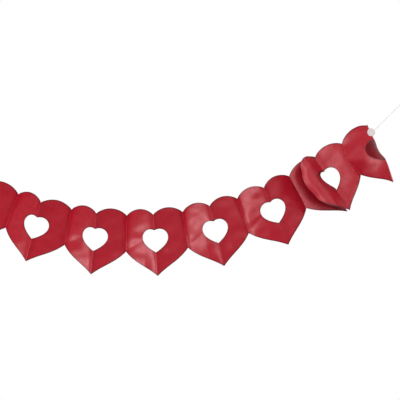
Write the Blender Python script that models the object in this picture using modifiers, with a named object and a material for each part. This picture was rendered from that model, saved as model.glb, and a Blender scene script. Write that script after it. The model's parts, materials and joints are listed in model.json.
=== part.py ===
"""Paper heart garland: one red strip folded back and forth, hung as a swag by a thread at each end.

Metres, +Z up, +X along the garland, -Y towards the viewer. Every second fold is a crease down the middle of
a heart and stands forward. The folds between them join one heart to the next and lie further back. Near each
end one heart has stayed folded shut behind its neighbour, and the last heart's outer half hangs back.
"""

import math

import bmesh
import bpy
from mathutils import Vector

# The paper and one half heart of it, laid flat: u runs from the crease to the join, v runs down from the notch.
PAPER_THICKNESS = 0.00025
PANEL_WIDTH = 0.075
JOIN_LENGTH = 0.080
CREASE_LENGTH = 0.1365
LOBE_RISE = 0.0138
LOBE_ROUNDNESS = 0.82
EDGE_CURVE = 0.037
EDGE_CROSSING = 0.68

# The heart cut out on each crease.
HOLE_NOTCH = 0.0346
HOLE_LOBE = 0.0320
HOLE_SIDE = 0.0500
HOLE_TIP = 0.0835
HOLE_HALF_WIDTH = 0.0315
HOLE_LOBE_PLACE = 0.36

# The swag: each side has twelve folds, counted outwards from the join in the middle.
FOLDS_A_SIDE = 12
REGULAR_FOLDS = 6
MIDDLE_TILT = math.radians(-1.3)
OPENING_AT_NOTCH = math.radians(33.5)
OPENING_AT_JOIN_END = math.radians(22.2)
FOLD_BEND = 0.0023
SOFT_CREASE_RISE = 0.0012

# Outside them: pitch, change of tilt, rise, how far forward at the notch and at the join's end.
SHUT_CREASE = (0.0745, math.radians(1.0), 0.0060, -0.008, -0.008)
SHUT_JOIN = (-0.0465, math.radians(-0.9), -0.0015, 0.050, 0.050)
PULLED_CREASE = (0.0394, math.radians(5.4), 0.0003, 0.020, 0.020)
PULLED_JOIN = (0.0696, math.radians(-3.0), -0.0041, 0.0, 0.0)
END_CREASE = (0.0625, math.radians(-7.8), 0.0084, 0.034, 0.046)
END_FOLDS = (SHUT_CREASE, SHUT_JOIN, PULLED_CREASE, PULLED_JOIN, END_CREASE)
END_BOWS = (0.0, -0.012, 0.010, 0.0, 0.002, 0.0)
PUFFED_HALF = 8
PUFF = 0.018
PUFF_PEAK = 6.75
PUFF_SPAN = (0.020, 0.064, 0.110)
LOOSE_JOINS = (8, 10)
JOIN_BULGE_IN = 0.010
JOIN_BULGE_FORWARD = 0.005
END_KINK = 0.005
BACK_HALF_TURN = math.radians(71)
BACK_HALF_REACH = 0.068
BACK_HALF_BOW = 0.014

# The grid on each half heart.
HOLE_COLUMN_COUNT = 6
SIDE_COLUMN_COUNT = 6
UPPER_ROW_COUNT = 4
LOWER_ROW_COUNT = 2

# The sticker folded over the last crease, and the thread under it.
GAP = 0.0003
STICKER_THICKNESS = 0.0003
STICKER_RADIUS = 0.0090
STICKER_PLACE = 0.016
STICKER_SHIFT = 0.0020
STICKER_BEND_RADIUS = 0.0008
STICKER_FREE_TURN = math.radians(20)
STICKER_COLUMN_COUNT = 16
STICKER_ROW_COUNT = 6
THREAD_DIAMETER = 0.0009
THREAD_START = 0.0020
THREAD_START_DROP = 0.0020
THREAD_LENGTH = 0.104
THREAD_TURN = math.radians(67)
THREAD_POINT_COUNT = 40
LOOP_LENGTH = 0.012
LOOP_HALF_WIDTH = 0.0032
LOOP_POINT_COUNT = 36
KNOT_SWELL = 2.0
KNOT_SHORTNESS = 24
THREAD_BEVEL_STEP_COUNT = 2

MERGE_DISTANCE = 0.00005
SHARP_EDGE = math.radians(30)
BACK = Vector((0, 1, 0))


def top_edge(u):
    """Height line of the heart's lobe above the notches."""
    across = 2 * u / PANEL_WIDTH - 1
    return -LOBE_RISE * max(1 - across * across, 0) ** LOBE_ROUNDNESS


def bottom_edge(u):
    """Lower edge from the join's end down to the tip: full near the join, hollow near the tip."""
    t = 1 - u / PANEL_WIDTH
    straight = JOIN_LENGTH + (CREASE_LENGTH - JOIN_LENGTH) * t
    return straight + EDGE_CURVE * t * (1 - t) * (EDGE_CROSSING - t)


def middle_edge(u, hole_edge):
    """The line that divides a half heart's upper and lower part: the hole's edge, then the soft crease."""
    if u <= HOLE_HALF_WIDTH:
        return hole_edge(u / HOLE_HALF_WIDTH)
    t = (u - HOLE_HALF_WIDTH) / (PANEL_WIDTH - HOLE_HALF_WIDTH)
    return HOLE_SIDE + (JOIN_LENGTH - HOLE_SIDE) * t


def hole_upper_edge(s):
    if s < HOLE_LOBE_PLACE:
        return HOLE_LOBE + (HOLE_NOTCH - HOLE_LOBE) * (1 - s / HOLE_LOBE_PLACE) ** 2
    x = (s - HOLE_LOBE_PLACE) / (1 - HOLE_LOBE_PLACE)
    return HOLE_SIDE - (HOLE_SIDE - HOLE_LOBE) * math.sqrt(max(1 - x * x, 0))


def hole_lower_edge(s):
    return HOLE_SIDE + (HOLE_TIP - HOLE_SIDE) * math.sqrt(max(1 - s, 0))


def column_place(a):
    """Distance from the crease of the column at share a of the grid: close columns where the outline turns."""
    hole_share = HOLE_COLUMN_COUNT / (HOLE_COLUMN_COUNT + SIDE_COLUMN_COUNT)
    if a <= hole_share:
        return HOLE_HALF_WIDTH * (1 - math.cos(math.pi * a / hole_share)) / 2
    t = (a - hole_share) / (1 - hole_share)
    return HOLE_HALF_WIDTH + (PANEL_WIDTH - HOLE_HALF_WIDTH) * math.sin(math.pi / 2 * t)


def fold_step(k):
    """Pitch, change of tilt, rise and the two depths of fold k, counted outwards."""
    if k > REGULAR_FOLDS:
        return END_FOLDS[k - REGULAR_FOLDS - 1]
    pitch = PANEL_WIDTH * math.cos(OPENING_AT_NOTCH)
    low_pitch = PANEL_WIDTH * math.cos(OPENING_AT_JOIN_END)
    forward = k % 2
    depth = forward * PANEL_WIDTH * math.sin(OPENING_AT_NOTCH)
    low_depth = forward * PANEL_WIDTH * math.sin(OPENING_AT_JOIN_END)
    return pitch, (low_pitch - pitch) / JOIN_LENGTH, 0.0, depth, low_depth


def folds_of(side):
    """The folds of one side (1 right, -1 left): notch, direction down, bulge, and where the bulge starts, peaks, ends."""
    tilt = side * MIDDLE_TILT
    top = Vector((0, 0, 0))
    none = Vector((0, 0, 0))
    join_span = (0, JOIN_LENGTH / 2, JOIN_LENGTH)
    folds = [(top.copy(), Vector((side * math.sin(tilt), 0, -math.cos(tilt))), none, join_span)]
    for k in range(1, FOLDS_A_SIDE):
        pitch, turn, rise, depth, low_depth = fold_step(k)
        slope = tilt + turn / 2
        top = top + Vector((side * pitch * math.cos(slope), 0, pitch * math.sin(slope)))
        tilt += turn
        top += rise * Vector((-side * math.sin(tilt), 0, math.cos(tilt)))
        lean = (depth - low_depth) / JOIN_LENGTH
        down = Vector((side * math.sin(tilt), lean, -math.cos(tilt))).normalized()
        bulge = Vector((-side * JOIN_BULGE_IN, -JOIN_BULGE_FORWARD, 0)) if k in LOOSE_JOINS else none
        folds.append((top - depth * BACK, down, bulge, join_span))
    crease_top, down = folds[-1][:2]
    out, back = crease_axes(down, side)
    folds[-1] = (crease_top, down, END_KINK * out, (HOLE_NOTCH, HOLE_TIP, CREASE_LENGTH))
    edge = crease_top + BACK_HALF_REACH * (math.sin(BACK_HALF_TURN) * back - math.cos(BACK_HALF_TURN) * out)
    folds.append((edge, down, none, join_span))
    return folds


def crease_axes(down, side):
    """Two directions square to a crease: outwards in the picture's plane, and back."""
    back = (BACK - BACK.dot(down) * down).normalized()
    return side * back.cross(down).normalized() * -1, back


def hump(v, span):
    """From 0 at the span's start to 1 at its peak and back to 0 at its end, as a squared sine."""
    start, peak, end = span
    share = (v - start) / (peak - start) if v < peak else (end - v) / (end - peak)
    return math.sin(math.pi / 2 * min(max(share, 0), 1)) ** 2


def fold_point(fold, v):
    top, down, bulge, span = fold
    return top + v * down + hump(v, span) * bulge


def forward_bend(k, share, v):
    """How far the paper of the half heart inside fold k stands forward of its straight line."""
    arch = math.sin(math.pi * share)
    if k > REGULAR_FOLDS:
        return END_BOWS[k - REGULAR_FOLDS - 1] * arch
    wave = math.sin(2 * math.pi * (1 - share))
    line = middle_edge(share * PANEL_WIDTH, hole_upper_edge)
    near = max(1 - abs(v - line) / HOLE_SIDE, 0)
    return FOLD_BEND * wave + SOFT_CREASE_RISE * near * arch


def outward_puff(k, share, v):
    """How far outwards a half heart curves: one puffs beside its hole, and the last one curls behind its crease."""
    if k == PUFFED_HALF:
        return PUFF * PUFF_PEAK * share * (1 - share) ** 2 * hump(v, PUFF_SPAN)
    return BACK_HALF_BOW * math.sin(math.pi * share) if k == FOLDS_A_SIDE else 0


def add_half_heart(mesh, folds, k, side):
    """Two grids, above and below the hole's side, drawn to the outline and carried to the folded place."""
    crease, join = (folds[k], folds[k - 1]) if k % 2 else (folds[k - 1], folds[k])
    parts = (
        (UPPER_ROW_COUNT, top_edge, lambda u: middle_edge(u, hole_upper_edge)),
        (LOWER_ROW_COUNT, lambda u: middle_edge(u, hole_lower_edge), bottom_edge),
    )
    for rows, upper, lower in parts:
        grid = bmesh.ops.create_grid(
            mesh, x_segments=HOLE_COLUMN_COUNT + SIDE_COLUMN_COUNT, y_segments=rows, size=1
        )
        for vertex in grid["verts"]:
            u = column_place((vertex.co.x + 1) / 2)
            t = (vertex.co.y + 1) / 2
            v = upper(u) + (lower(u) - upper(u)) * t
            share = u / PANEL_WIDTH
            place = fold_point(crease, v).lerp(fold_point(join, v), share)
            puff = side * outward_puff(k, share, v)
            vertex.co = place - forward_bend(k, share, v) * BACK + Vector((puff, 0, 0))


def finished(mesh, name, collection, material):
    """One body from a bmesh: merged, faces agreed, in its collection."""
    bmesh.ops.remove_doubles(mesh, verts=mesh.verts, dist=MERGE_DISTANCE)
    bmesh.ops.recalc_face_normals(mesh, faces=mesh.faces)
    data = bpy.data.meshes.new(name)
    mesh.to_mesh(data)
    mesh.free()
    data.shade_smooth()
    data.set_sharp_from_angle(angle=SHARP_EDGE)
    data.materials.append(material)
    made = bpy.data.objects.new(name, data)
    collection.objects.link(made)
    return made


def thicken(made, thickness, offset):
    solid = made.modifiers.new("Thickness", "SOLIDIFY")
    solid.thickness = thickness
    solid.offset = offset


def heart_strip(sides, origin, collection, material):
    """The whole folded strip as one sheet."""
    mesh = bmesh.new()
    for side, folds in sides.items():
        for k in range(1, FOLDS_A_SIDE + 1):
            add_half_heart(mesh, folds, k, side)
    made = finished(mesh, "heart_strip", collection, material)
    thicken(made, PAPER_THICKNESS, 0)
    made.location = -origin
    return made


def end_frame(folds, side):
    """Place and directions at the sticker: centre on the last crease, down, along the front half, free side."""
    crease, join = folds[FOLDS_A_SIDE - 1], folds[FOLDS_A_SIDE - 2]
    down = crease[1]
    centre = fold_point(crease, STICKER_PLACE)
    inward = fold_point(join, STICKER_PLACE) - centre - END_BOWS[-2] * math.pi * BACK
    inward = (inward - inward.dot(down) * down).normalized()
    out, back = crease_axes(down, side)
    free = math.cos(STICKER_FREE_TURN) * out + math.sin(STICKER_FREE_TURN) * back
    return centre, down, inward, free


def bent_point(s, inward, free):
    """Point at distance s along the sticker's cross-section: a flat leg, a round bend, a flat leg."""
    front_in = (free - free.dot(inward) * inward).normalized() * -1
    front_out = (inward - inward.dot(free) * free).normalized() * -1
    turn = front_in.angle(front_out)
    half = STICKER_BEND_RADIUS * turn / 2
    clear = PAPER_THICKNESS / 2 + GAP
    apex = (front_in + front_out).normalized() * (clear / math.cos(turn / 2))
    start = apex - STICKER_BEND_RADIUS / math.cos(turn / 2) * (front_in + front_out).normalized()
    if s < -half:
        return start + STICKER_BEND_RADIUS * front_in + (-s - half) * inward
    if s > half:
        return start + STICKER_BEND_RADIUS * front_out + (s - half) * free
    share = (s + half) / (2 * half)
    return start + STICKER_BEND_RADIUS * front_in.slerp(front_out, share)


def sticker(folds, side, origin, name, collection, material):
    """A paper disc folded round the last crease: one half lies on the heart, the other stands free."""
    centre, down, inward, free = end_frame(folds, side)
    mesh = bmesh.new()
    grid = bmesh.ops.create_grid(mesh, x_segments=STICKER_COLUMN_COUNT, y_segments=STICKER_ROW_COUNT, size=1)
    for vertex in grid["verts"]:
        s = STICKER_RADIUS * math.sin(math.pi / 2 * vertex.co.x)
        half_chord = math.sqrt(max(STICKER_RADIUS**2 - s * s, 0))
        vertex.co = centre + bent_point(s + STICKER_SHIFT, inward, free) + vertex.co.y * half_chord * down
    made = finished(mesh, name, collection, material)
    if made.data.polygons[0].normal.dot(BACK) > 0:
        made.data.flip_normals()
    thicken(made, STICKER_THICKNESS, 1)
    made.location = -origin
    return made


def thread_frame(folds, side):
    """Where the thread starts behind the sticker's free half, its direction, and its side direction."""
    centre, down, inward, free = end_frame(folds, side)
    behind = (BACK - BACK.dot(down) * down - BACK.dot(free) * free).normalized()
    start = centre + THREAD_START * free + THREAD_START_DROP * down
    start += (GAP + THREAD_DIAMETER / 2 - PAPER_THICKNESS) * behind
    along = math.sin(THREAD_TURN) * free - math.cos(THREAD_TURN) * down
    return start, along, behind


def add_tube(name, points, radii, closed, collection, material):
    """A round tube through the points, with flat caps unless it is closed."""
    curve = bpy.data.curves.new(name, "CURVE")
    curve.dimensions = "3D"
    curve.bevel_depth = THREAD_DIAMETER / 2
    curve.bevel_resolution = THREAD_BEVEL_STEP_COUNT
    curve.use_fill_caps = not closed
    spline = curve.splines.new("POLY")
    spline.points.add(len(points) - 1)
    spline.use_cyclic_u = closed
    for place, point, radius in zip(spline.points, points, radii):
        place.co = (*point, 1)
        place.radius = radius
    curve.materials.append(material)
    made = bpy.data.objects.new(name, curve)
    collection.objects.link(made)
    return made


def hanging_thread(folds, side, origin, name, collection, material):
    start, along, _ = thread_frame(folds, side)
    points = [along * THREAD_LENGTH * i / (THREAD_POINT_COUNT - 1) for i in range(THREAD_POINT_COUNT)]
    made = add_tube(name, points, [1] * THREAD_POINT_COUNT, False, collection, material)
    made.location = start - origin
    return made


def loop_centre(folds, side):
    """Middle of the hanging loop, beyond the thread's end and the knot."""
    start, along, _ = thread_frame(folds, side)
    knot = THREAD_DIAMETER / 2 * KNOT_SWELL
    return start + along * (THREAD_LENGTH + GAP + knot + LOOP_LENGTH / 2)


def thread_loop(folds, side, origin, name, collection, material):
    """The tied loop: an oval ring whose lower end swells into the knot."""
    _, along, behind = thread_frame(folds, side)
    across = along.cross(behind).normalized()
    points, radii = [], []
    for i in range(LOOP_POINT_COUNT):
        angle = 2 * math.pi * i / LOOP_POINT_COUNT
        height = -LOOP_LENGTH / 2 * math.cos(angle)
        width = LOOP_HALF_WIDTH * math.sin(angle)
        points.append(height * along + width * across)
        near_knot = max(math.cos(angle), 0) ** KNOT_SHORTNESS
        radii.append(1 + (KNOT_SWELL - 1) * near_knot)
    made = add_tube(name, points, radii, True, collection, material)
    made.location = loop_centre(folds, side) - origin
    return made


def paint(name, colour, roughness):
    material = bpy.data.materials.new(name)
    material.use_nodes = True
    shader = material.node_tree.nodes["Principled BSDF"]
    shader.inputs["Base Color"].default_value = (*colour, 1)
    shader.inputs["Roughness"].default_value = roughness
    shader.inputs["Metallic"].default_value = 0
    return material


def main():
    for old in list(bpy.data.objects):
        bpy.data.objects.remove(old)
    garland = bpy.data.collections.new("paper_heart_garland")
    bpy.context.scene.collection.children.link(garland)
    red = paint("red_paper", (0.39, 0.012, 0.03), 0.4)
    white = paint("white_paper", (0.8, 0.76, 0.75), 0.6)
    grey = paint("white_thread", (0.66, 0.66, 0.64), 0.8)

    sides = {1: folds_of(1), -1: folds_of(-1)}
    origin = loop_centre(sides[1], 1)
    heart_strip(sides, origin, garland, red)
    for side, word in ((1, "right"), (-1, "left")):
        folds = sides[side]
        sticker(folds, side, origin, f"thread_sticker_{word}", garland, white)
        hanging_thread(folds, side, origin, f"hanging_thread_{word}", garland, grey)
        thread_loop(folds, side, origin, f"thread_loop_{word}", garland, grey)


main()
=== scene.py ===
"""Red paper heart garland, dressed for the picture: folded strip, white stickers and hanging threads.

Metres, +Z up, +X along the garland, -Y towards the viewer, origin in the right hanging loop.
"""

import json
import math

import bmesh
import bpy
import numpy as np
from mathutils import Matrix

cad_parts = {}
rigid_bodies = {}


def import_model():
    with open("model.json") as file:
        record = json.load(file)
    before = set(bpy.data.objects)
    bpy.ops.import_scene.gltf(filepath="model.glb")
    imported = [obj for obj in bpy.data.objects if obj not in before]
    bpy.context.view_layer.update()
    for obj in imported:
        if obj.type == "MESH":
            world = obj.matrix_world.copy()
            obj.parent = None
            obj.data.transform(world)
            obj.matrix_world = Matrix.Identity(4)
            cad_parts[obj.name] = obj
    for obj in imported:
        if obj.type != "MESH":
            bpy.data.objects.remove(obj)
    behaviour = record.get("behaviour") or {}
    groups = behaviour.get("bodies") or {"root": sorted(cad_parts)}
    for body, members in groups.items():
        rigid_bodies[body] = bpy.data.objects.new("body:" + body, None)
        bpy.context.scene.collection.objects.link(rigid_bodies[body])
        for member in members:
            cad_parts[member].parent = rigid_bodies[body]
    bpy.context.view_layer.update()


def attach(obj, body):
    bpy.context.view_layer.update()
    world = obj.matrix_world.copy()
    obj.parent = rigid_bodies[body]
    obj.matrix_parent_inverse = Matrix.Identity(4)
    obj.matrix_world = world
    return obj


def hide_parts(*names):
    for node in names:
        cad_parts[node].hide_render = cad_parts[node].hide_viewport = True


# The paper and one half heart laid flat: u runs from the crease to the join, v down from the notch.
PAPER_THICKNESS = 0.00025
PANEL_WIDTH = 0.075
JOIN_LENGTH = 0.080
CREASE_LENGTH = 0.1365
LOBE_RISE = 0.0138
LOBE_ROUNDNESS = 0.82
EDGE_CURVE = 0.037
EDGE_CROSSING = 0.68
HOLE_NOTCH = 0.0346
HOLE_LOBE = 0.0320
HOLE_SIDE = 0.0500
HOLE_TIP = 0.0835
HOLE_HALF_WIDTH = 0.0315
HOLE_LOBE_PLACE = 0.36

# The folds, counted outwards from the join in the middle of the swag. Odd folds are creases, even ones
# joins. Each end fold has its pitch, change of tilt, rise, and two depths, at the notch and the join's end.
FOLDS_A_SIDE = 12
REGULAR_FOLDS = 6
MIDDLE_TILT = math.radians(-1.3)
OPENING_AT_NOTCH = math.radians(33.5)
OPENING_AT_JOIN_END = math.radians(22.2)
SHUT_CREASE = (0.0745, math.radians(1.0), 0.0060, -0.008, -0.008)
SHUT_JOIN = (-0.0465, math.radians(-0.9), -0.0015, 0.050, 0.050)
PULLED_CREASE = (0.0394, math.radians(5.4), 0.0003, 0.020, 0.020)
PULLED_JOIN = (0.0696, math.radians(-3.0), -0.0041, 0.0, 0.0)
END_CREASE = (0.0625, math.radians(-7.8), 0.0084, 0.034, 0.046)
END_FOLDS = (SHUT_CREASE, SHUT_JOIN, PULLED_CREASE, PULLED_JOIN, END_CREASE)
END_BOWS = (0.0, -0.012, 0.010, 0.0, 0.002, 0.0)
PUFFED_HALF = 8
PUFF = 0.018
PUFF_PEAK = 6.75
PUFF_SPAN = (0.020, 0.064, 0.110)
LOOSE_JOINS = (8, 10)
JOIN_BULGE_IN = 0.010
JOIN_BULGE_FORWARD = 0.005
END_KINK = 0.005
BACK_HALF_TURN = math.radians(71)
BACK_HALF_REACH = 0.068
BACK_HALF_BOW = 0.014

# How the paper bends between its folds.
FOLD_SPRING = 0.0030
FOLD_SPRING_REACH = 0.11
END_SPRINGS = (0.35, 0.35, 0.2, 1.3, 0.2, 0.35)
FOLD_BULGE_POWER = 2.2
FOLD_ROUNDING = 0.0005
JOIN_GIVE = 0.0032
JOIN_GIVE_START = 0.052
JOIN_GIVE_INNER = 0.9 * HOLE_HALF_WIDTH
JOIN_GIVE_EDGE = 0.002

# The paper's waves: radians a metre down, radians a metre across, share of the phase, and height.
PAPER_WAVE = 0.00035
WAVES = ((150, 60, 1.0, 1.0), (-120, 95, 1.9, 0.6), (260, -40, 3.1, 0.4))
WAVE_PHASE_A_HALF = 2.4
WAVE_PHASE_A_SIDE = 0.7

# Grids, and how meshes are merged and shaded.
HOLE_COLUMNS = 20
SIDE_COLUMNS = 18
UPPER_ROWS = 26
LOWER_ROWS = 18
ROW_CROWDING = 0.7
STICKER_COLUMNS = 49
STICKER_ROWS = 25
YARN_SIDES = 14
LOOP_RINGS = 120
KNOT_RINGS = 90
TAIL_RINGS = 24
PAPER_MERGE = 0.00003
YARN_MERGE = 0.00001
SHARP_EDGE = math.radians(50)

# Sticker, thread and loop.
GAP = 0.0003
STICKER_THICKNESS = 0.0003
STICKER_RADIUS = 0.0090
STICKER_PLACE = 0.016
STICKER_SHIFT = 0.0020
STICKER_BEND_RADIUS = 0.0008
STICKER_FREE_TURN = math.radians(20)
THREAD_DIAMETER = 0.0009
THREAD_START = 0.0020
THREAD_START_DROP = 0.0020
THREAD_LENGTH = 0.104
THREAD_TURN = math.radians(67)
THREAD_POINTS = 40
THREAD_RINGS = 6 * THREAD_POINTS
LOOP_LENGTH = 0.012
LOOP_HALF_WIDTH = 0.0032
KNOT_SWELL = 2.0
KNOT_TURNS = 3
KNOT_RADIUS = 0.85 * THREAD_DIAMETER
KNOT_BARREL = 0.1 * THREAD_DIAMETER
KNOT_HEIGHT = 2.6 * THREAD_DIAMETER
KNOT_RISE = 0.0002
KNOT_LEAN = 0.2
TAIL_START = 0.02
TAIL_LENGTH = 0.005
TAIL_LIFT = 0.001
TWIST_LENGTH = 0.0032
PLY_DEPTH = 0.18

# The direction away from the viewer.
BACK = np.array([0.0, 1.0, 0.0])


def unit(vector):
    return vector / np.linalg.norm(vector, axis=-1, keepdims=True)


# Flat outline of a half heart.


def top_edge(u):
    """Lobe: a flattened arch between the two notches, the power of a parabola."""
    across = 2 * u / PANEL_WIDTH - 1
    return -LOBE_RISE * np.clip(1 - across**2, 0, None) ** LOBE_ROUNDNESS


def bottom_edge(u):
    """Line from the join's end to the tip plus a cubic: full near the join, hollow near the tip."""
    t = 1 - u / PANEL_WIDTH
    straight = JOIN_LENGTH + (CREASE_LENGTH - JOIN_LENGTH) * t
    return straight + EDGE_CURVE * t * (1 - t) * (EDGE_CROSSING - t)


def hole_top(u):
    """Upper edge of the half hole: a parabola from notch to lobe, then a quarter ellipse to the side."""
    s = np.clip(u / HOLE_HALF_WIDTH, 0, 1)
    near = HOLE_LOBE + (HOLE_NOTCH - HOLE_LOBE) * (1 - s / HOLE_LOBE_PLACE) ** 2
    x = np.clip((s - HOLE_LOBE_PLACE) / (1 - HOLE_LOBE_PLACE), 0, 1)
    far = HOLE_SIDE - (HOLE_SIDE - HOLE_LOBE) * np.sqrt(1 - x * x)
    return np.where(s < HOLE_LOBE_PLACE, near, far)


def hole_bottom(u):
    """Lower edge of the half hole: a sideways parabola from its side to its tip."""
    s = np.clip(u / HOLE_HALF_WIDTH, 0, 1)
    return HOLE_SIDE + (HOLE_TIP - HOLE_SIDE) * np.sqrt(1 - s)


def soft_crease(u):
    """Straight line from the hole's side to the join's end, level beside the hole."""
    t = np.clip((u - HOLE_HALF_WIDTH) / (PANEL_WIDTH - HOLE_HALF_WIDTH), 0, 1)
    return HOLE_SIDE + (JOIN_LENGTH - HOLE_SIDE) * t


def column_places():
    """Distances from the crease: cosine spacing across the hole, sine spacing from there to the join."""
    near = HOLE_HALF_WIDTH * (1 - np.cos(np.pi * np.arange(HOLE_COLUMNS) / HOLE_COLUMNS)) / 2
    t = np.arange(SIDE_COLUMNS + 1) / SIDE_COLUMNS
    far = HOLE_HALF_WIDTH + (PANEL_WIDTH - HOLE_HALF_WIDTH) * np.sin(np.pi / 2 * t)
    return np.concatenate([near, far])


def row_shares(rows):
    """Shares from 0 to 1 that crowd towards both ends: a mix of even and cosine spacing."""
    t = np.arange(rows + 1) / rows
    return (1 - ROW_CROWDING) * t + ROW_CROWDING * (1 - np.cos(np.pi * t)) / 2


# The folds in space.


def fold_step(k):
    """Pitch, change of tilt, rise and the two depths of fold k, counted outwards."""
    if k > REGULAR_FOLDS:
        return END_FOLDS[k - REGULAR_FOLDS - 1]
    pitch = PANEL_WIDTH * math.cos(OPENING_AT_NOTCH)
    low_pitch = PANEL_WIDTH * math.cos(OPENING_AT_JOIN_END)
    forward = k % 2
    depth = forward * PANEL_WIDTH * math.sin(OPENING_AT_NOTCH)
    low_depth = forward * PANEL_WIDTH * math.sin(OPENING_AT_JOIN_END)
    return pitch, (low_pitch - pitch) / JOIN_LENGTH, 0.0, depth, low_depth


def crease_axes(down, side):
    """Two directions square to a crease: outwards in the picture's plane, and back."""
    back = unit(BACK - (BACK @ down) * down)
    return -side * unit(np.cross(back, down)), back


def fold_lines(side):
    """One side's folds (1 right, -1 left) as arrays: notches, directions down, bulges and their spans.

    Each fold lies one pitch further along the swag's slope, which turns a little at every fold.
    """
    tilt = side * MIDDLE_TILT
    place = np.zeros(3)
    tops, downs = [place], [np.array([side * math.sin(tilt), 0, -math.cos(tilt)])]
    for k in range(1, FOLDS_A_SIDE):
        pitch, turn, rise, depth, low_depth = fold_step(k)
        slope = tilt + turn / 2
        place = place + [side * pitch * math.cos(slope), 0, pitch * math.sin(slope)]
        tilt += turn
        place = place + rise * np.array([-side * math.sin(tilt), 0, math.cos(tilt)])
        lean = (depth - low_depth) / JOIN_LENGTH
        downs.append(unit(np.array([side * math.sin(tilt), lean, -math.cos(tilt)])))
        tops.append(place - depth * BACK)
    out, back = crease_axes(downs[-1], side)
    bulges = np.zeros((FOLDS_A_SIDE + 1, 3))
    bulges[list(LOOSE_JOINS)] = [-side * JOIN_BULGE_IN, -JOIN_BULGE_FORWARD, 0]
    bulges[FOLDS_A_SIDE - 1] = END_KINK * out
    spans = np.tile([0, JOIN_LENGTH / 2, JOIN_LENGTH], (FOLDS_A_SIDE + 1, 1))
    spans[FOLDS_A_SIDE - 1] = HOLE_NOTCH, HOLE_TIP, CREASE_LENGTH
    edge = math.sin(BACK_HALF_TURN) * back - math.cos(BACK_HALF_TURN) * out
    tops.append(tops[-1] + BACK_HALF_REACH * edge)
    downs.append(downs[-1])
    return np.array(tops), np.array(downs), bulges, spans


def hump(v, start, peak, end):
    """From 0 at start to 1 at peak and back to 0 at end, as a squared sine."""
    share = np.where(v < peak, (v - start) / (peak - start), (end - v) / (end - peak))
    return np.sin(np.pi / 2 * np.clip(share, 0, 1)) ** 2


def fold_bulge(folds, which, v):
    """How far the folds stand off their straight lines at distances v: a hump of each fold's bulge."""
    bulges, spans = (values[which][:, None, None] for values in folds[2:])
    return hump(v, spans[..., 0], spans[..., 1], spans[..., 2])[..., None] * bulges


def fold_points(folds, which, v):
    """Points at distances v down the folds: straight, plus the fold's own sideways bulge."""
    tops, downs = (values[which][:, None, None] for values in folds[:2])
    return tops + v[..., None] * downs + fold_bulge(folds, which, v)


def smooth_step(t):
    """From 0 to 1 by the cubic that is level at both ends."""
    t = np.clip(t, 0, 1)
    return t * t * (3 - 2 * t)


def forward_bend(side, k, share, v):
    """How far the paper stands forward of the straight lines between its folds.

    Half a sine bows it. A tanh of the distance to each fold makes it steeper there and flatter in the
    middle, and an exponential rounds the fold itself. The lower third of a regular join gives way
    backwards, and three sines make it wavy.
    """
    arch = np.sin(np.pi * share)
    reach = FOLD_SPRING_REACH
    spring = np.tanh(share / reach) - np.tanh((1 - share) / reach) + np.tanh(1 / reach) * (1 - 2 * share)
    spring = spring * np.array([1.0] * REGULAR_FOLDS + list(END_SPRINGS))[k - 1]
    bows = np.array([0.0] * REGULAR_FOLDS + list(END_BOWS))[k - 1]
    u = share * PANEL_WIDTH
    width = FOLD_ROUNDING
    ends = np.exp(-(PANEL_WIDTH - u) / width) - np.exp(-u / width)
    rounding = width * ends * np.tan(OPENING_AT_NOTCH)
    ramp = np.clip((u - JOIN_GIVE_INNER) / (PANEL_WIDTH - JOIN_GIVE_INNER), 0, 1)
    wedge = JOIN_GIVE_EDGE + (JOIN_LENGTH - JOIN_GIVE_START) * ramp
    give = ramp * smooth_step((v - JOIN_GIVE_START) / wedge)
    given = np.where(k <= REGULAR_FOLDS, JOIN_GIVE, 0.0)
    phase = WAVE_PHASE_A_HALF * k + WAVE_PHASE_A_SIDE * side
    wave = sum(height * np.sin(down * v + over * u + turn * phase) for down, over, turn, height in WAVES)
    return bows * arch - FOLD_SPRING * spring + rounding - given * give + PAPER_WAVE * arch * wave


def half_hearts(folds, side, v, u):
    """Points of all the half hearts of one side at flat places (u, v).

    A straight blend from crease to join, plus the forward bend. On both sides of the last loose join, its
    bulge grows as a power of the way there from the crease. The puffed half stands outwards as a cubic
    across, and the last half as half a sine.
    """
    k = np.arange(1, FOLDS_A_SIDE + 1)
    creases, joins = np.where(k % 2, k, k - 1), np.where(k % 2, k - 1, k)
    share = (u / PANEL_WIDTH)[None]
    k = k[:, None, None]
    bend = forward_bend(side, k, share, v[None])[..., None]
    across = share[..., None]
    straight = fold_points(folds, creases, v) * (1 - across) + fold_points(folds, joins, v) * across
    fading = np.where(k >= LOOSE_JOINS[1], share**FOLD_BULGE_POWER - share, 0)[..., None]
    straight = straight + fading * fold_bulge(folds, joins, v)
    puff = PUFF * PUFF_PEAK * share * (1 - share) ** 2 * hump(v, *PUFF_SPAN)[None]
    bow = np.where(k == FOLDS_A_SIDE, BACK_HALF_BOW * np.sin(np.pi * share), 0)
    outward = np.where(k == PUFFED_HALF, puff, bow)
    return straight - bend * BACK + side * outward[..., None] * [1, 0, 0]


def cut_distance(u, v, edge):
    """Distance to a cut edge v = edge(u): the height over it, shortened by the edge's slope."""
    step = 1e-5
    rise = edge(np.clip(u + step, 0, PANEL_WIDTH)) - edge(np.clip(u - step, 0, PANEL_WIDTH))
    return np.abs(v - edge(u)) / np.sqrt(1 + (rise / (2 * step)) ** 2)


# Meshes.


def grid_faces(rows, columns):
    """Corner numbers of the quads of a grid whose points are numbered row by row."""
    corner = (np.arange(rows - 1)[:, None] * columns + np.arange(columns - 1)).reshape(-1, 1)
    return corner + np.array([0, columns, columns + 1, 1])


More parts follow.
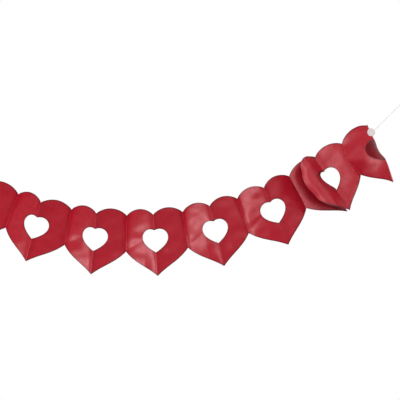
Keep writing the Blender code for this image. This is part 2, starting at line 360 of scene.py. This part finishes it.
def new_piece(name, points, faces, material, uv=None, values=None):
    """One object from arrays of points and quads, with a map and named values given point by point."""
    mesh = bpy.data.meshes.new(name)
    mesh.from_pydata(points.reshape(-1, 3).tolist(), [], faces.tolist())
    if uv is not None:
        corners = np.empty(len(mesh.loops), np.int32)
        mesh.loops.foreach_get("vertex_index", corners)
        layer = mesh.uv_layers.new(name="flat")
        layer.data.foreach_set("uv", uv.reshape(-1, 2)[corners].astype(np.float32).ravel())
    for word, numbers in (values or {}).items():
        attribute = mesh.attributes.new(word, "FLOAT", "POINT")
        attribute.data.foreach_set("value", numbers.astype(np.float32).ravel())
    mesh.materials.append(material)
    piece = bpy.data.objects.new(name, mesh)
    bpy.context.scene.collection.objects.link(piece)
    return piece


def merge_points(piece, distance):
    """Close seams and poles, and turn all faces outwards."""
    work = bmesh.new()
    work.from_mesh(piece.data)
    bmesh.ops.remove_doubles(work, verts=work.verts, dist=distance)
    bmesh.ops.recalc_face_normals(work, faces=work.faces)
    work.to_mesh(piece.data)
    work.free()


def smooth(piece):
    piece.data.shade_smooth()
    piece.data.set_sharp_from_angle(angle=SHARP_EDGE)


def thicken(piece, thickness, offset):
    """Give a surface its wall: offset 0 puts half on each side of it, and 1 all of it in front."""
    solid = piece.modifiers.new("Thickness", "SOLIDIFY")
    solid.thickness = thickness
    solid.offset = offset


def make_strip(sides, origin, material):
    """The whole strip: for each half heart one grid above the soft crease and one below it, then merged."""
    u = column_places()[None]
    patches = (
        (UPPER_ROWS, top_edge(u), np.where(u < HOLE_HALF_WIDTH, hole_top(u), soft_crease(u))),
        (LOWER_ROWS, np.where(u < HOLE_HALF_WIDTH, hole_bottom(u), soft_crease(u)), bottom_edge(u)),
    )
    points, uv, cut, fold, faces, count = [], [], [], [], [], 0
    for side, folds in sides.items():
        for rows, upper, lower in patches:
            v = upper + (lower - upper) * row_shares(rows)[:, None]
            across = np.broadcast_to(u, v.shape)
            made = half_hearts(folds, side, v, across) - origin
            k = np.arange(1, FOLDS_A_SIDE + 1)[:, None, None]
            along = side * np.where(k % 2, k * PANEL_WIDTH - across, (k - 1) * PANEL_WIDTH + across)
            outer = np.minimum(cut_distance(across, v, top_edge), cut_distance(across, v, bottom_edge))
            inner = np.minimum(cut_distance(across, v, hole_top), cut_distance(across, v, hole_bottom))
            beside = np.hypot(across - HOLE_HALF_WIDTH, v - HOLE_SIDE)
            inner = np.where(across < HOLE_HALF_WIDTH, inner, beside)
            nearest = np.minimum(outer, inner)
            crease = np.minimum(across, np.where(v < JOIN_LENGTH, PANEL_WIDTH - across, PANEL_WIDTH))
            points.append(made.reshape(-1, 3))
            uv.append(np.stack([along, np.broadcast_to(-v, along.shape)], axis=-1).reshape(-1, 2))
            cut.append(np.broadcast_to(nearest, along.shape).ravel())
            fold.append(np.broadcast_to(crease, along.shape).ravel())
            one = grid_faces(rows + 1, across.shape[1])
            starts = count + np.arange(FOLDS_A_SIDE) * v.size
            faces.append((one[None] + starts[:, None, None]).reshape(-1, 4))
            count += made.size // 3
    strip = new_piece(
        "folded_hearts",
        np.concatenate(points),
        np.concatenate(faces),
        material,
        np.concatenate(uv),
        {"cut_edge": np.concatenate(cut), "fold_line": np.concatenate(fold)},
    )
    merge_points(strip, PAPER_MERGE)
    smooth(strip)
    thicken(strip, PAPER_THICKNESS, 0)
    return strip


# Sticker, thread and loop.


def end_frame(folds, side):
    """Place and directions at the sticker: its centre on the last crease, down, inwards, and free side."""
    crease, join = np.array([FOLDS_A_SIDE - 1]), np.array([FOLDS_A_SIDE - 2])
    down = folds[1][FOLDS_A_SIDE - 1]
    there = np.full((1, 1), STICKER_PLACE)
    centre = fold_points(folds, crease, there)[0, 0, 0]
    inward = fold_points(folds, join, there)[0, 0, 0] - centre - END_BOWS[-2] * math.pi * BACK
    inward = unit(inward - (inward @ down) * down)
    out, back = crease_axes(down, side)
    free = math.cos(STICKER_FREE_TURN) * out + math.sin(STICKER_FREE_TURN) * back
    return centre, down, inward, free


def bent_section(s, inward, free):
    """Points at distances s along the sticker's section: a flat leg, an arc, a flat leg."""
    front_in = -unit(free - (free @ inward) * inward)
    front_out = -unit(inward - (inward @ free) * free)
    turn = math.acos(front_in @ front_out)
    half = STICKER_BEND_RADIUS * turn / 2
    middle = unit(front_in + front_out)
    clear = PAPER_THICKNESS / 2 + GAP
    start = middle * (clear - STICKER_BEND_RADIUS) / math.cos(turn / 2)
    share = np.clip((s + half) / (2 * half), 0, 1)[..., None]
    arc = (np.sin((1 - share) * turn) * front_in + np.sin(share * turn) * front_out) / math.sin(turn)
    legs = np.clip(-s - half, 0, None)[..., None] * inward + np.clip(s - half, 0, None)[..., None] * free
    return start + STICKER_BEND_RADIUS * arc + legs


def make_sticker(folds, side, origin, name, material):
    """A disc on a grid of chords, folded round the crease along its middle chord."""
    centre, down, inward, free = end_frame(folds, side)
    a, b = np.meshgrid(np.linspace(-1, 1, STICKER_COLUMNS), np.linspace(-1, 1, STICKER_ROWS))
    s = STICKER_RADIUS * np.sin(np.pi / 2 * a)
    across = b * np.sqrt(np.clip(STICKER_RADIUS**2 - s * s, 0, None))
    points = centre + bent_section(s + STICKER_SHIFT, inward, free) + across[..., None] * down - origin
    rim = STICKER_RADIUS - np.hypot(s, across)
    faces = grid_faces(*a.shape)
    piece = new_piece(name, points, faces, material, np.stack([s, across], axis=-1), {"cut_edge": rim})
    merge_points(piece, PAPER_MERGE)
    if piece.data.polygons[0].normal.dot(BACK) >= 0:
        piece.data.flip_normals()
    smooth(piece)
    thicken(piece, STICKER_THICKNESS, 1)
    return piece


def thread_frame(folds, side):
    """Where the thread starts behind the sticker's free half, its direction, and the way behind it."""
    centre, down, inward, free = end_frame(folds, side)
    behind = unit(BACK - (BACK @ down) * down - (BACK @ free) * free)
    start = centre + THREAD_START * free + THREAD_START_DROP * down
    start = start + (GAP + THREAD_DIAMETER / 2 - PAPER_THICKNESS) * behind
    along = math.sin(THREAD_TURN) * free - math.cos(THREAD_TURN) * down
    return start, along, behind


def loop_centre(folds, side):
    """The middle of the tied loop: on the thread's line, past its end, a gap and half the knot."""
    start, along, _ = thread_frame(folds, side)
    knot = THREAD_DIAMETER / 2 * KNOT_SWELL
    return start + along * (THREAD_LENGTH + GAP + knot + LOOP_LENGTH / 2)


def yarn(name, path, reference, material, closed=False):
    """Two twisted plies as one tube: a ring's radius swells twice round it and turns with the way along.

    path is the centreline, and reference a direction that it never runs along.
    """
    if closed:
        ahead, behind = np.roll(path, -1, axis=0), np.roll(path, 1, axis=0)
        tangent = unit(ahead - behind)
        steps = np.linalg.norm(ahead - path, axis=1)
    else:
        tangent = unit(np.gradient(path, axis=0))
        steps = np.linalg.norm(np.diff(path, axis=0, append=path[-1:]), axis=1)
    distance = np.concatenate([[0], np.cumsum(steps)])
    turns = distance[-1] / TWIST_LENGTH
    turns = round(turns) if closed else turns
    twist = 2 * np.pi * turns * distance[: len(path)] / distance[-1]
    across = unit(np.cross(tangent, reference))
    other = np.cross(tangent, across)
    angle = np.linspace(0, 2 * np.pi, YARN_SIDES + 1)[None]
    radius = THREAD_DIAMETER / 2 * (1 - PLY_DEPTH * (1 - np.cos(2 * angle - 2 * twist[:, None])))
    around = np.cos(angle)[..., None] * across[:, None] + np.sin(angle)[..., None] * other[:, None]
    points = path[:, None] + radius[..., None] * around
    along = np.broadcast_to(distance[: len(path), None], radius.shape)
    uv = np.stack([along, np.broadcast_to(angle * THREAD_DIAMETER / 2, radius.shape)], axis=-1)
    if closed:
        points = np.concatenate([points, points[:1]])
        uv = np.concatenate([uv, uv[:1] + [distance[-1], 0]])
    else:
        points = np.concatenate([np.broadcast_to(path[0], points[:1].shape), points])
        points = np.concatenate([points, np.broadcast_to(path[-1], points[:1].shape)])
        uv = np.concatenate([uv[:1], uv, uv[-1:]])
    piece = new_piece(name, points, grid_faces(points.shape[0], YARN_SIDES + 1), material, uv)
    merge_points(piece, YARN_MERGE)
    piece.data.shade_smooth()
    return piece


def make_thread(folds, side, origin, word, material):
    """The pulled thread, its tied loop and the turns of its knot.

    The thread is a straight line and the loop an ellipse. The knot is a helix whose radius swells as half a
    sine, with a tail that leaves it straight and lifts as a square.
    """
    start, along, behind = thread_frame(folds, side)
    start = start - origin
    route = start + along * np.linspace(0, THREAD_LENGTH, THREAD_RINGS)[:, None]
    thread = yarn(f"thread_{word}", route, behind, material)

    centre = loop_centre(folds, side) - origin
    across = unit(np.cross(along, behind))
    angle = np.linspace(0, 2 * np.pi, LOOP_RINGS, endpoint=False)
    height = -LOOP_LENGTH / 2 * np.cos(angle)
    width = LOOP_HALF_WIDTH * np.sin(angle)
    ring = centre + height[:, None] * along + width[:, None] * across
    loop = yarn(f"loop_{word}", ring, behind, material, closed=True)

    share = np.linspace(0, 1, KNOT_RINGS)
    angle = 2 * np.pi * KNOT_TURNS * share
    radius = KNOT_RADIUS + KNOT_BARREL * np.sin(np.pi * share)
    foot = centre - along * (LOOP_LENGTH / 2 - KNOT_RISE)
    spiral = foot + along * ((share - 0.5) * KNOT_HEIGHT)[:, None]
    spiral = spiral + (radius * np.cos(angle))[:, None] * across
    spiral = spiral + (radius * np.sin(angle))[:, None] * behind
    tail_share = np.linspace(TAIL_START, 1, TAIL_RINGS)[:, None]
    leaving = unit(spiral[-1] - spiral[-2])
    tail = spiral[-1] + leaving * TAIL_LENGTH * tail_share + along * TAIL_LIFT * tail_share**2
    knot = yarn(f"knot_{word}", np.concatenate([spiral, tail]), along + KNOT_LEAN * behind, material)
    return thread, loop, knot, route, start


# Materials.


def material_nodes(name):
    material = bpy.data.materials.new(name)
    material.use_nodes = True
    nodes = material.node_tree.nodes
    return material, nodes, material.node_tree.links, nodes["Principled BSDF"]


def add_noise(nodes, links, vector, scale, detail, roughness=0.5):
    noise = nodes.new("ShaderNodeTexNoise")
    noise.inputs["Scale"].default_value = scale
    noise.inputs["Detail"].default_value = detail
    noise.inputs["Roughness"].default_value = roughness
    links.new(vector, noise.inputs["Vector"])
    return noise.outputs["Fac"]


def add_range(nodes, links, value, low, high, to_low, to_high):
    """Value between low and high, moved evenly to the range from to_low to to_high."""
    node = nodes.new("ShaderNodeMapRange")
    for name, number in (("From Min", low), ("From Max", high), ("To Min", to_low), ("To Max", to_high)):
        node.inputs[name].default_value = number
    links.new(value, node.inputs["Value"])
    return node.outputs["Result"]


def add_mix(nodes, links, share, first, second):
    """Colour that goes from first to second by share. Either colour is a socket or three numbers."""
    node = nodes.new("ShaderNodeMix")
    node.data_type = "RGBA"
    links.new(share, node.inputs["Factor"])
    for socket, colour in ((node.inputs[6], first), (node.inputs[7], second)):
        if isinstance(colour, tuple):
            socket.default_value = (*colour, 1)
        else:
            links.new(colour, socket)
    return node.outputs[2]


def flat_map(nodes, links, stretch=(1, 1, 1)):
    """The piece's own flat map, in metres, stretched along one way."""
    place = nodes.new("ShaderNodeUVMap")
    place.uv_map = "flat"
    mapping = nodes.new("ShaderNodeMapping")
    mapping.inputs["Scale"].default_value = stretch
    links.new(place.outputs["UV"], mapping.inputs["Vector"])
    return mapping.outputs["Vector"]


def add_value(nodes, name):
    node = nodes.new("ShaderNodeAttribute")
    node.attribute_name = name
    return node.outputs["Fac"]


def add_bump(nodes, links, height, distance, strength, before=None):
    bump = nodes.new("ShaderNodeBump")
    bump.inputs["Distance"].default_value = distance
    bump.inputs["Strength"].default_value = strength
    links.new(height, bump.inputs["Height"])
    if before is not None:
        links.new(before, bump.inputs["Normal"])
    return bump.outputs["Normal"]


PAPER_RED = (0.335, 0.0062, 0.0165)
PAPER_RED_DEEP = (0.285, 0.0050, 0.0135)
# Painted shade: the dark band along the paper's cut edges.
PAPER_EDGE_SHADE = (0.120, 0.0030, 0.006)
PAPER_WORN = (0.450, 0.0200, 0.038)
PAPER_SHEEN = (1.0, 0.62, 0.65, 1)
STICKER_WHITE = (0.56, 0.50, 0.50)
STICKER_WHITE_DEEP = (0.47, 0.42, 0.42)
STICKER_CUT = (0.42, 0.38, 0.38)
# The thread is white; its two greys are painted shade.
THREAD_WHITE_SHADED = (0.44, 0.45, 0.44)
THREAD_WHITE_SHADED_DEEP = (0.30, 0.31, 0.30)
FLOOR_PALE = (0.80, 0.80, 0.79)
FLOOR_DEEP = (0.77, 0.77, 0.76)


def red_paper():
    """Satin red paper: cloudy fibres, painted shade as a dark band along the cut edges, worn fold lines, a
    fine tooth and a soft cockle.
    """
    material, nodes, links, shader = material_nodes("satin red paper")
    flat = flat_map(nodes, links)
    clouds = add_noise(nodes, links, flat, scale=90, detail=5, roughness=0.6)
    drawn = flat_map(nodes, links, (900, 2600, 1))
    fibres = add_noise(nodes, links, drawn, scale=1, detail=4, roughness=0.65)
    cloudy = add_range(nodes, links, clouds, low=0.35, high=0.65, to_low=0, to_high=1)
    colour = add_mix(nodes, links, cloudy, PAPER_RED, PAPER_RED_DEEP)
    crease = add_value(nodes, "fold_line")
    worn = add_range(nodes, links, crease, low=0.0001, high=0.0010, to_low=0.35, to_high=0)
    colour = add_mix(nodes, links, worn, colour, PAPER_WORN)
    # Painted shade: darkest at the cut edges, fading out 3.6 mm in.
    edge = add_value(nodes, "cut_edge")
    cut = add_range(nodes, links, edge, low=0.0010, high=0.0036, to_low=0.9, to_high=0)
    links.new(add_mix(nodes, links, cut, colour, PAPER_EDGE_SHADE), shader.inputs["Base Color"])
    satin = add_range(nodes, links, clouds, low=0.3, high=0.7, to_low=0.27, to_high=0.33)
    links.new(satin, shader.inputs["Roughness"])
    shader.inputs["Specular IOR Level"].default_value = 0.32
    shader.inputs["Specular Tint"].default_value = PAPER_SHEEN
    tooth = add_bump(nodes, links, fibres, distance=0.000015, strength=0.4)
    cockle = add_noise(nodes, links, flat, scale=45, detail=2, roughness=0.4)
    cockled = add_bump(nodes, links, cockle, distance=0.0006, strength=0.35, before=tooth)
    links.new(cockled, shader.inputs["Normal"])
    return material


def white_paper():
    """Matt white sticker paper with faint fibres and a thin grey cut rim."""
    material, nodes, links, shader = material_nodes("matt white paper")
    fibres = add_noise(nodes, links, flat_map(nodes, links), scale=2200, detail=4, roughness=0.6)
    share = add_range(nodes, links, fibres, low=0.35, high=0.65, to_low=0, to_high=1)
    colour = add_mix(nodes, links, share, STICKER_WHITE, STICKER_WHITE_DEEP)
    rim = add_value(nodes, "cut_edge")
    cut = add_range(nodes, links, rim, low=0.0001, high=0.0006, to_low=0.6, to_high=0)
    links.new(add_mix(nodes, links, cut, colour, STICKER_CUT), shader.inputs["Base Color"])
    shader.inputs["Roughness"].default_value = 0.6
    links.new(add_bump(nodes, links, fibres, distance=0.00004, strength=0.4), shader.inputs["Normal"])
    return material


def shaded_white_thread():
    """White spun thread, coloured grey as painted shade: fine fibres that run along the twist."""
    material, nodes, links, shader = material_nodes("white thread in painted shade")
    drawn = flat_map(nodes, links, (900, 9000, 1))
    fibres = add_noise(nodes, links, drawn, scale=1, detail=3, roughness=0.6)
    share = add_range(nodes, links, fibres, low=0.35, high=0.65, to_low=0, to_high=1)
    links.new(add_mix(nodes, links, share, THREAD_WHITE_SHADED, THREAD_WHITE_SHADED_DEEP), shader.inputs["Base Color"])
    shader.inputs["Roughness"].default_value = 0.75
    shader.inputs["Sheen Weight"].default_value = 0.2
    links.new(add_bump(nodes, links, fibres, distance=0.00003, strength=0.6), shader.inputs["Normal"])
    return material


# Camera, lights and stage.

CAMERA_AZIMUTH = math.radians(2.626)
CAMERA_ELEVATION = math.radians(-2.041)
CAMERA_DISTANCE = 2.3
CAMERA_LENS = 93.148
CAMERA_SENSOR = 36
LOOKED_AT = np.array([0.16330, 0, 0.03491])
FLOOR_DROP = 2.0
FLOOR_HALF_WIDTH = 2.6
SURROUND_LIGHT = 0.24

# Name, azimuth, elevation, distance, size and power. Azimuth 0 is the viewer's side, and 90 the right.
SOFTBOXES = (
    ("soft light low left", -52, -19, 1.8, 0.5, 12),
    ("soft light high left", -30, 30, 1.8, 1.0, 11),
    ("soft light front", 16, 14, 1.8, 1.0, 20),
    ("soft light right", 60, 26, 1.8, 1.0, 6),
    ("soft light behind", -145, 12, 1.8, 1.0, 20),
)


def add_camera(origin):
    """The photograph's view: aimed at a point 163 mm right of the middle join, from slightly below."""
    target = LOOKED_AT - origin
    across, forward = -math.sin(CAMERA_AZIMUTH), math.cos(CAMERA_AZIMUTH)
    level = math.cos(CAMERA_ELEVATION)
    ahead = np.array([across * level, forward * level, -math.sin(CAMERA_ELEVATION)])
    lens = bpy.data.cameras.new("camera")
    lens.sensor_fit = "HORIZONTAL"
    lens.sensor_width = CAMERA_SENSOR
    lens.lens = CAMERA_LENS
    camera = bpy.data.objects.new("camera", lens)
    camera.location = target - CAMERA_DISTANCE * ahead
    camera.rotation_euler = (math.pi / 2 - CAMERA_ELEVATION, 0, CAMERA_AZIMUTH)
    bpy.context.scene.collection.objects.link(camera)
    bpy.context.scene.camera = camera
    return target


def add_softbox(name, target, azimuth, elevation, distance, size, power):
    """A square soft light that faces the garland."""
    around, above = math.radians(azimuth), math.radians(elevation)
    level = math.cos(above)
    towards = np.array([math.sin(around) * level, -math.cos(around) * level, math.sin(above)])
    light = bpy.data.lights.new(name, "AREA")
    light.shape = "SQUARE"
    light.size = size
    light.energy = power
    lamp = bpy.data.objects.new(name, light)
    lamp.location = target + distance * towards
    lamp.rotation_euler = (math.pi / 2 - above, 0, around)
    lamp.visible_camera = False
    bpy.context.scene.collection.objects.link(lamp)


def add_stage(target):
    """A pale floor well below the hung garland, under a dim world that the camera sees as white."""
    floor_material, nodes, links, shader = material_nodes("pale floor")
    place = nodes.new("ShaderNodeTexCoord").outputs["Object"]
    grain = add_noise(nodes, links, place, scale=3, detail=3)
    share = add_range(nodes, links, grain, low=0.3, high=0.7, to_low=0, to_high=1)
    links.new(add_mix(nodes, links, share, FLOOR_PALE, FLOOR_DEEP), shader.inputs["Base Color"])
    shader.inputs["Roughness"].default_value = 0.9
    corners = FLOOR_HALF_WIDTH * np.array([[-1, -1], [1, -1], [1, 1], [-1, 1]])
    points = np.column_stack([corners + target[:2], np.full(4, target[2] - FLOOR_DROP)])
    new_piece("floor", points, np.array([[0, 1, 2, 3]]), floor_material)

    world = bpy.data.worlds.new("white surroundings")
    world.use_nodes = True
    nodes, links = world.node_tree.nodes, world.node_tree.links
    background = nodes["Background"]
    background.inputs["Color"].default_value = (1, 1, 1, 1)
    path = nodes.new("ShaderNodeLightPath")
    seen = path.outputs["Is Camera Ray"]
    for word in ("Is Glossy Ray", "Is Transmission Ray"):
        either = nodes.new("ShaderNodeMath")
        either.operation = "MAXIMUM"
        links.new(seen, either.inputs[0])
        links.new(path.outputs[word], either.inputs[1])
        seen = either.outputs[0]
    strength = add_range(nodes, links, seen, low=0, high=1, to_low=SURROUND_LIGHT, to_high=1)
    links.new(strength, background.inputs["Strength"])
    bpy.context.scene.world = world


def main():
    for old in list(bpy.data.objects):
        bpy.data.objects.remove(old)
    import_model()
    sides = {1: fold_lines(1), -1: fold_lines(-1)}
    origin = loop_centre(sides[1], 1)
    target = add_camera(origin)

    thread_material, paper, white = shaded_white_thread(), red_paper(), white_paper()
    for side, word in ((1, "right"), (-1, "left")):
        thread, loop, knot, route, start = make_thread(sides[side], side, origin, word, thread_material)
        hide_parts(f"hanging_thread_{word}")
        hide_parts(f"thread_loop_{word}")
        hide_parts(f"thread_loop_{word}")
        for piece in (thread, loop, knot):
            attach(piece, "root")

    strip = make_strip(sides, origin, paper)
    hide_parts("heart_strip")
    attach(strip, "root")
    for side, word in ((1, "right"), (-1, "left")):
        sticker = make_sticker(sides[side], side, origin, f"white_sticker_{word}", white)
        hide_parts(f"thread_sticker_{word}")
        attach(sticker, "root")

    for name, azimuth, elevation, distance, size, power in SOFTBOXES:
        add_softbox(name, target, azimuth, elevation, distance, size, power)
    add_stage(target)
    bpy.context.scene.view_settings.view_transform = "Standard"


main()
